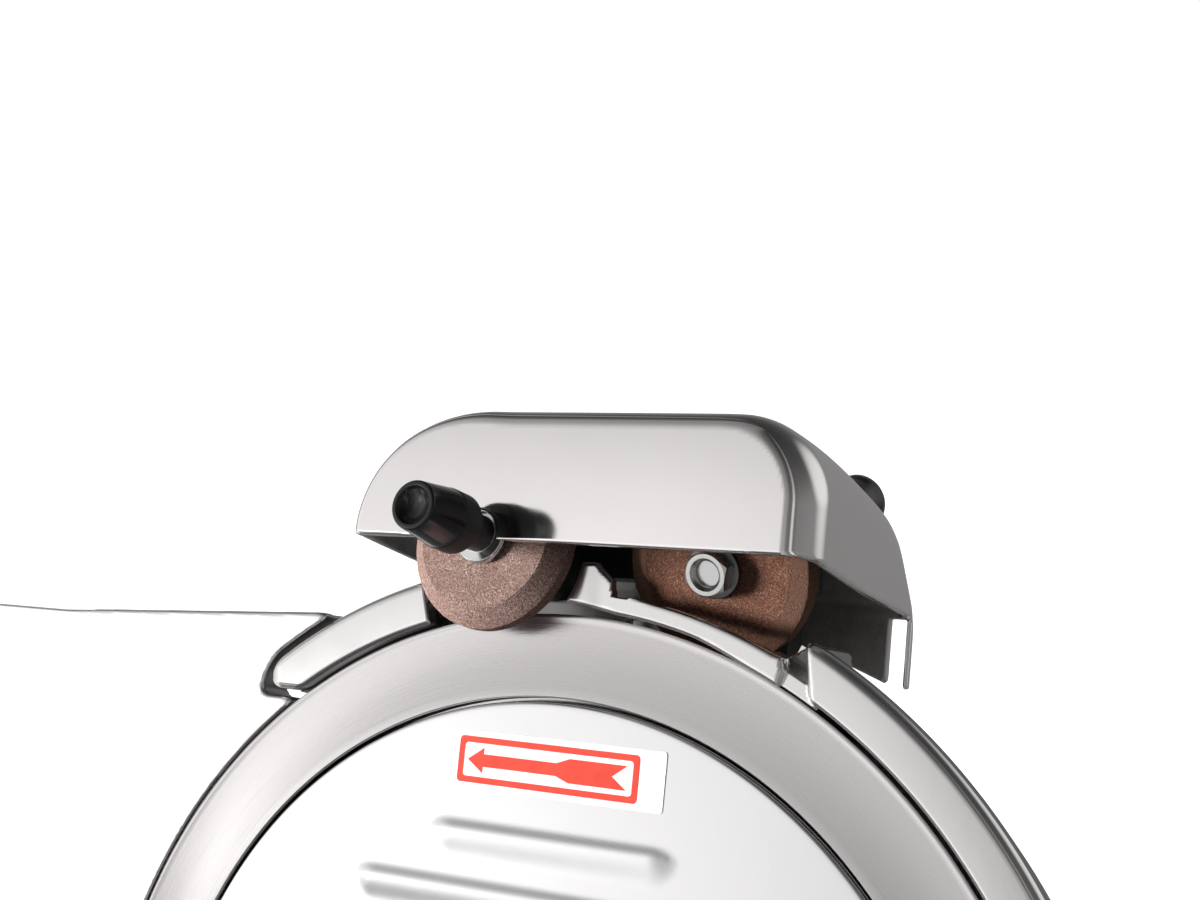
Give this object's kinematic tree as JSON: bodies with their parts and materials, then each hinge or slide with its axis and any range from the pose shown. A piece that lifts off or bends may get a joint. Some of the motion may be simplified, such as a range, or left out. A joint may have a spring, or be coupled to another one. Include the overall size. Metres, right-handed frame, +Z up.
{
  "type": "food slicer",
  "caption": "Electric gravity-feed food slicer: leaning circular knife in a ring guard, top-mounted sharpener with two stones, thickness gauge plate, sliding food carriage.",
  "frame": {"origin": "centre of the whole machine's outline on the surface its feet stand on, with the carriage drawn to the operator", "axes": "+X to the operator's right (feed side), +Y away from the operator, +Z up; the knife leans 20 degrees from vertical towards -X"},
  "size_m": [0.4338, 0.503, 0.3692],
  "materials": {
    "cast_aluminium": "satin cast and polished",
    "polished_hood": "mirror polished cast aluminium",
    "plate_aluminium": "satin anodised plate",
    "cover_aluminium": "satin anodised",
    "knife_steel": "ground in circles, bright edge",
    "machined_steel": "turned and ground",
    "zinc_steel": "zinc plated",
    "sheet_steel": "brushed sheet",
    "motor_paint": "dark satin paint",
    "black_plastic": "satin moulded",
    "dial_plate": "white printed plate with plain numbers",
    "label_white": "white film with a red arrow",
    "green_plastic": "moulded",
    "red_plastic": "moulded",
    "clear_plastic": "clear moulded",
    "foot_rubber": "moulded",
    "belt_rubber": "ribbed",
    "grinding_abrasive": "grainy abrasive stone",
    "deburring_abrasive": "grainy rust brown abrasive stone"
  },
  "bodies": {
    "frame": {"base_casting": "cast_aluminium", "bottom_cover": "sheet_steel", "rubber_feet": "foot_rubber", "column": "cast_aluminium", "column_rear_cover": "cast_aluminium", "motor_end_cover": "cast_aluminium", "ring_guard": "cast_aluminium", "frame_screws": "zinc_steel", "spindle_bearings": "machined_steel", "drive_belt": "belt_rubber", "motor_body": "motor_paint", "run_capacitor": "black_plastic", "blade_cover": "cover_aluminium", "rotation_label": "label_white", "slice_deflector": "sheet_steel", "switch_plate": "black_plastic", "switch_block": "black_plastic", "cord_gland": "black_plastic", "gauge_guide": "cast_aluminium", "gauge_rods": "machined_steel", "dial_scale": "dial_plate", "carriage_rod": "machined_steel", "guide_rail": "machined_steel"},
    "knife": {"blade": "knife_steel", "blade_spindle": "machined_steel", "blade_screws": "zinc_steel", "blade_pulley": "machined_steel"},
    "motor": {"motor_rotor": "machined_steel", "motor_pulley": "machined_steel"},
    "cover_tie": {"cover_knob": "black_plastic"},
    "gauge": {"gauge_plate": "plate_aluminium", "gauge_carrier": "cast_aluminium", "gauge_screws": "zinc_steel"},
    "dial": {"thickness_knob": "black_plastic", "dial_shaft": "machined_steel"},
    "start_button": {"on_button": "green_plastic"},
    "stop_button": {"off_button": "red_plastic"},
    "carriage": {"carriage_slider": "cast_aluminium", "carriage_arm": "cast_aluminium", "food_tray": "plate_aluminium", "hand_guard": "clear_plastic", "carriage_handle": "black_plastic", "pusher_rod": "machined_steel"},
    "tray_clamp": {"tray_knob": "black_plastic"},
    "pusher_slide_bush": {"pusher_bush": "black_plastic"},
    "pusher": {"pusher_plate": "plate_aluminium", "pusher_handle": "black_plastic"},
    "sharpener": {"sharpener_hood": "polished_hood", "sharpener_bracket": "motor_paint", "hood_screws": "zinc_steel", "grinding_spring": "machined_steel", "deburring_spring": "machined_steel"},
    "sharpener_lock": {"sharpener_lock_knob": "black_plastic"},
    "grinding_pushrod": {"grinding_spindle": "machined_steel", "grinding_knob": "black_plastic"},
    "grinding_wheel": {"grinding_stone": "grinding_abrasive"},
    "deburring_pushrod": {"deburring_spindle": "machined_steel", "deburring_nut": "zinc_steel", "deburring_knob": "black_plastic"},
    "deburring_wheel": {"deburring_stone": "deburring_abrasive"}
  },
  "joints": [
    {"name": "blade_spin", "type": "hinge", "parent": "frame", "child": "knife", "pos_m": [-0.018, 0.045, 0.205], "axis": [0.9397, 0, 0.342], "continuous": true},
    {"name": "motor_spin", "type": "hinge", "parent": "frame", "child": "motor", "pos_m": [-0.1, 0.133, 0.13791], "axis": [0.9397, 0, 0.342], "continuous": true},
    {"name": "cover_knob_turn", "type": "hinge", "parent": "frame", "child": "cover_tie", "pos_m": [-0.10257, 0.045, 0.17422], "axis": [0.9397, 0, 0.342], "range_deg": [0, 360]},
    {"name": "dial_turn", "type": "hinge", "parent": "frame", "child": "dial", "pos_m": [0.01354, -0.167, 0.05579], "axis": [0, 1, 0], "range_deg": [0, 300]},
    {"name": "gauge_slide", "type": "slide", "parent": "frame", "child": "gauge", "axis": [-0.9397, 0, -0.342], "range_m": [0, 0.012]},
    {"name": "on_press", "type": "slide", "parent": "frame", "child": "start_button", "axis": [0, 1, 0], "range_m": [0, 0.003], "stiffness_N_per_m": 800, "springref_m": -0.002},
    {"name": "off_press", "type": "slide", "parent": "frame", "child": "stop_button", "axis": [0, 1, 0], "range_m": [0, 0.003], "stiffness_N_per_m": 800, "springref_m": -0.002},
    {"name": "carriage_slide", "type": "slide", "parent": "frame", "child": "carriage", "axis": [0, 1, 0], "range_m": [0, 0.23]},
    {"name": "tray_knob_turn", "type": "hinge", "parent": "carriage", "child": "tray_clamp", "pos_m": [0.17578, -0.075, 0.15209], "axis": [-0.342, 0, 0.9397], "range_deg": [0, 360]},
    {"name": "pusher_slide", "type": "slide", "parent": "carriage", "child": "pusher_slide_bush", "axis": [-0.9397, 0, -0.342], "range_m": [0, 0.117]},
    {"name": "pusher_swing", "type": "hinge", "parent": "pusher_slide_bush", "child": "pusher", "pos_m": [0.15201, -0.193, 0.23495], "axis": [0.9397, 0, 0.342], "range_deg": [0, 95]},
    {"name": "sharpener_lift", "type": "slide", "parent": "frame", "child": "sharpener", "axis": [-0.342, 0, 0.9397], "range_m": [0, 0.03]},
    {"name": "sharpener_lock_turn", "type": "hinge", "parent": "frame", "child": "sharpener_lock", "pos_m": [-0.10713, 0.053, 0.28323], "axis": [0.9397, 0, 0.342], "range_deg": [0, 360]},
    {"name": "grinding_push", "type": "slide", "parent": "sharpener", "child": "grinding_pushrod", "axis": [-0.8957, 0, -0.4446], "range_m": [0, 0.0042], "stiffness_N_per_m": 1500, "springref_m": -0.003, "deforming": ["grinding_spring"]},
    {"name": "grinding_stone_spin", "type": "hinge", "parent": "grinding_pushrod", "child": "grinding_wheel", "pos_m": [-0.06312, 0.027, 0.33746], "axis": [0.8957, 0, 0.4446], "continuous": true},
    {"name": "deburring_push", "type": "slide", "parent": "sharpener", "child": "deburring_pushrod", "axis": [0.9997, 0, 0.0262], "range_m": [0, 0.0066], "stiffness_N_per_m": 1500, "springref_m": -0.003, "deforming": ["deburring_spring"]},
    {"name": "deburring_stone_spin", "type": "hinge", "parent": "deburring_pushrod", "child": "deburring_wheel", "pos_m": [-0.06774, 0.0793, 0.3329], "axis": [0.9997, 0, 0.0262], "continuous": true}
  ],
  "couplings": [
    {"joint": "motor_spin", "follows": "blade_spin", "ratio": 3.8462},
    {"joint": "dial_turn", "follows": "gauge_slide", "rad_per_m": 436.33}
  ]
}
